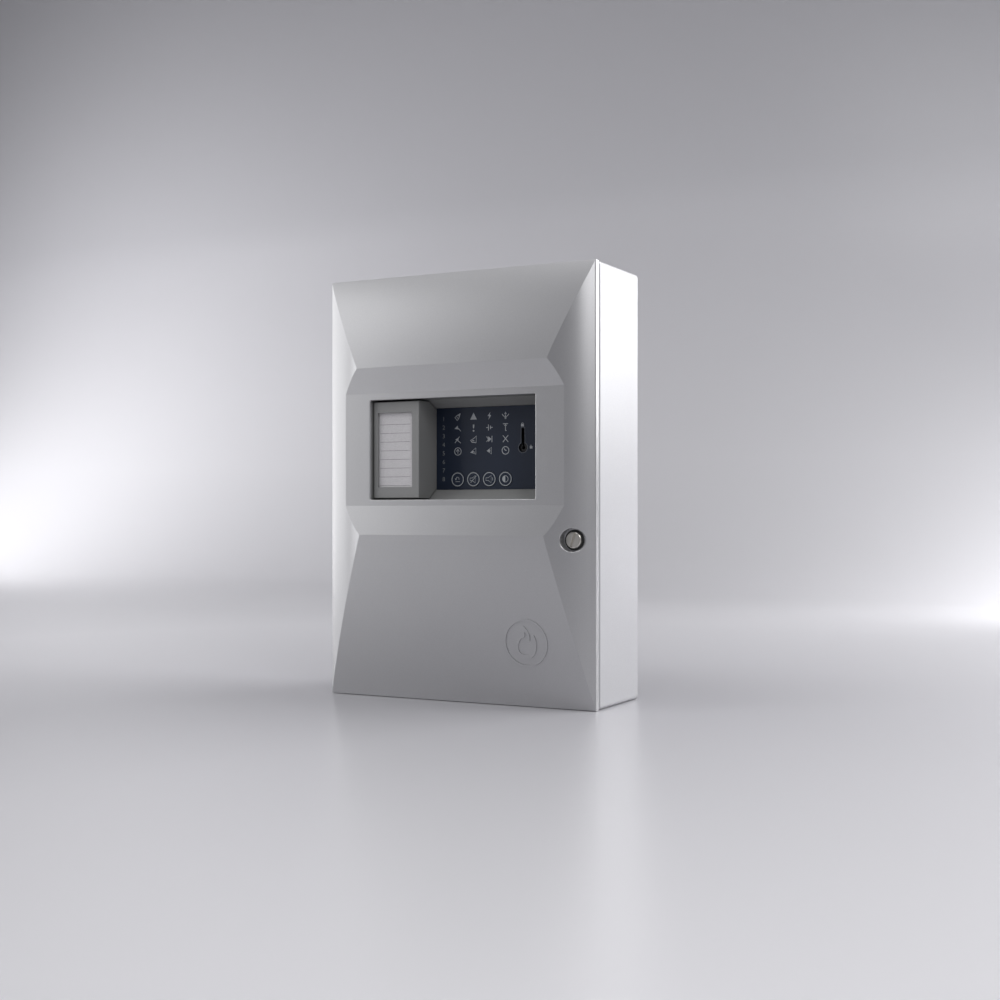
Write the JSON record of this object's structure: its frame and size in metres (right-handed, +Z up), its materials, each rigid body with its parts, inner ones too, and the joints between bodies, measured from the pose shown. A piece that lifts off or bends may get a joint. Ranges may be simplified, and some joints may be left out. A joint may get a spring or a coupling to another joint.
{
  "type": "fire alarm control panel",
  "caption": "Wall-mounted fire alarm control panel with a faceted hinged cover, recessed indicator and key fascia, zone label block, coin-slot lock, electronics and standby batteries.",
  "frame": {"origin": "centre of the back face, on the wall plane", "axes": "+X to the right and +Z up for somebody facing the panel; +Y into the wall, so the front faces -Y"},
  "size_m": [0.245, 0.1007, 0.35],
  "materials": {
    "cover_paint": "satin silver-grey paint on a moulded cover",
    "box_paint": "satin silver-grey powder coat",
    "bezel_plastic": "fine-textured grey moulding",
    "label_paper": "ruled card",
    "clear_plastic": "clear film",
    "fascia_film": "printed polyester film",
    "key_film": "printed polyester film",
    "black_plastic": "black moulding",
    "switch_rotor": "black moulding",
    "lock_metal": "brushed nickel",
    "zinc_steel": "zinc-plated steel",
    "cast_zinc": "die-cast zinc",
    "tinned_brass": "tinned",
    "board_laminate": "green solder mask",
    "zone_lamp": "red lamp",
    "status_lamp": "amber lamp",
    "terminal_green": "green terminal moulding",
    "relay_case": "blue relay case",
    "fuse_glass": "glass fuse",
    "capacitor_sleeve": "dark sleeve",
    "bare_aluminium": "extruded",
    "regulator_case": "moulded package",
    "battery_case": "dark grey moulding",
    "lamination": "varnished laminations",
    "coil_tape": "yellow coil tape",
    "mains_moulding": "pale grey moulding",
    "ribbon_grey": "grey ribbon",
    "wire_red": "red insulation",
    "wire_black": "black insulation",
    "wire_brown": "brown insulation",
    "wire_yellow": "yellow insulation",
    "wire_earth": "green and yellow insulation"
  },
  "bodies": {
    "cabinet": {"back_box": "box_paint", "display_tray": "bezel_plastic", "label_holder": "bezel_plastic", "label_card": "label_paper", "label_cover": "clear_plastic", "fascia_overlay": "fascia_film", "key_switch_body": "black_plastic", "tact_switches": "black_plastic", "buzzer": "black_plastic", "board_connectors": "black_plastic", "mains_fuse_carrier": "black_plastic", "chips": "black_plastic", "hinge_brackets": "zinc_steel", "hinge_pins": "zinc_steel", "battery_shelf": "zinc_steel", "battery_clamps": "zinc_steel", "stud_nuts": "zinc_steel", "board_screws": "zinc_steel", "display_pillars": "zinc_steel", "board_standoffs": "zinc_steel", "terminal_screws": "zinc_steel", "transformer_brackets": "zinc_steel", "battery_tabs": "tinned_brass", "fuse_clips": "tinned_brass", "earth_tag": "tinned_brass", "main_board": "board_laminate", "display_board": "board_laminate", "zone_lamps": "zone_lamp", "status_lamps": "status_lamp", "field_terminals": "terminal_green", "relays": "relay_case", "fuses": "fuse_glass", "capacitors": "capacitor_sleeve", "heat_sink": "bare_aluminium", "regulators": "regulator_case", "battery_lower": "battery_case", "battery_upper": "battery_case", "transformer_core": "lamination", "transformer_coil": "coil_tape", "mains_terminal": "mains_moulding", "ribbon_cable": "ribbon_grey", "battery_lead_positive": "wire_red", "battery_lead_negative": "wire_black", "battery_link": "wire_black", "mains_leads": "wire_brown", "transformer_leads": "wire_yellow", "earth_lead": "wire_earth"},
    "door": {"door_cover": "cover_paint", "lock_ring": "black_plastic", "lock_barrel": "cast_zinc", "lock_nut": "zinc_steel"},
    "lock": {"lock_plug": "lock_metal", "lock_cam": "zinc_steel", "cam_screw": "zinc_steel"},
    "reset_key": {"reset_key": "key_film"},
    "silence_key": {"silence_key": "key_film"},
    "sounder_key": {"sounder_key": "key_film"},
    "lamp_test_key": {"lamp_test_key": "key_film"},
    "key_switch": {"key_switch_rotor": "switch_rotor"}
  },
  "joints": [
    {"name": "door_hinge", "type": "hinge", "parent": "cabinet", "child": "door", "pos_m": [-0.1185, -0.0822, 0], "axis": [0, 0, 1], "range_deg": [-105, 0]},
    {"name": "lock_turn", "type": "hinge", "parent": "door", "child": "lock", "pos_m": [0.1065, -0.09, -0.0425], "axis": [0, 1, 0], "range_deg": [0, 90]},
    {"name": "reset_press", "type": "slide", "parent": "cabinet", "child": "reset_key", "axis": [0, 1, 0], "range_m": [0, 0.0006], "stiffness_N_per_m": 1500},
    {"name": "silence_press", "type": "slide", "parent": "cabinet", "child": "silence_key", "axis": [0, 1, 0], "range_m": [0, 0.0006], "stiffness_N_per_m": 1500},
    {"name": "sounder_press", "type": "slide", "parent": "cabinet", "child": "sounder_key", "axis": [0, 1, 0], "range_m": [0, 0.0006], "stiffness_N_per_m": 1500},
    {"name": "lamp_test_press", "type": "slide", "parent": "cabinet", "child": "lamp_test_key", "axis": [0, 1, 0], "range_m": [0, 0.0006], "stiffness_N_per_m": 1500},
    {"name": "key_switch_turn", "type": "hinge", "parent": "cabinet", "child": "key_switch", "pos_m": [0.0486, -0.06, 0.0315], "axis": [0, 1, 0], "range_deg": [0, 90]}
  ]
}
